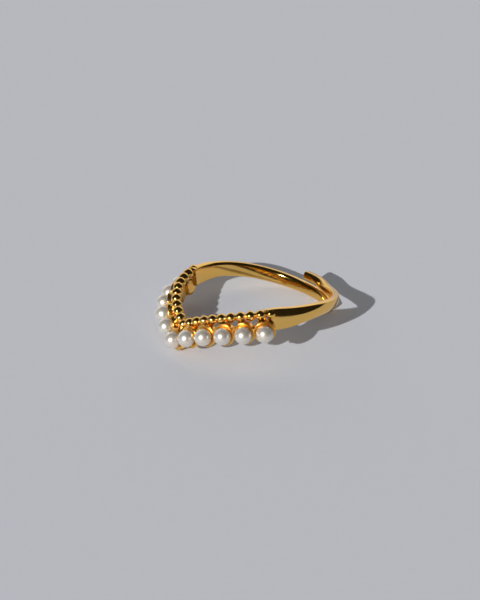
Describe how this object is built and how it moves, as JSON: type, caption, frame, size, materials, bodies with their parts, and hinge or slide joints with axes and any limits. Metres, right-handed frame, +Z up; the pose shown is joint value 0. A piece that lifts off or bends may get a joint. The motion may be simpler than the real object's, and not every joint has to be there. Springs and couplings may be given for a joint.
{
  "type": "open chevron pearl ring",
  "caption": "Open metal finger ring with a V-shaped front: round pearls in small cups hang below a chain of balls, and two plain free ends pass side by side at the back.",
  "frame": {"origin": "on the surface that the ring lies on, under the middle of its bounding box", "axes": "+Z up from the surface, -Y towards the tip of the chevron, +X towards the ring's right side"},
  "size_m": [0.0208, 0.0226, 0.0067],
  "materials": {
    "gold": "polished yellow gold plating",
    "pearl": "white pearl lustre"
  },
  "bodies": {
    "root": {"ring_metal": "gold", "pearl_tip": "pearl", "pearl_right_1": "pearl", "pearl_right_2": "pearl", "pearl_right_3": "pearl", "pearl_right_4": "pearl", "pearl_right_5": "pearl", "pearl_left_1": "pearl", "pearl_left_2": "pearl", "pearl_left_3": "pearl", "pearl_left_4": "pearl", "pearl_left_5": "pearl"}
  },
  "joints": []
}
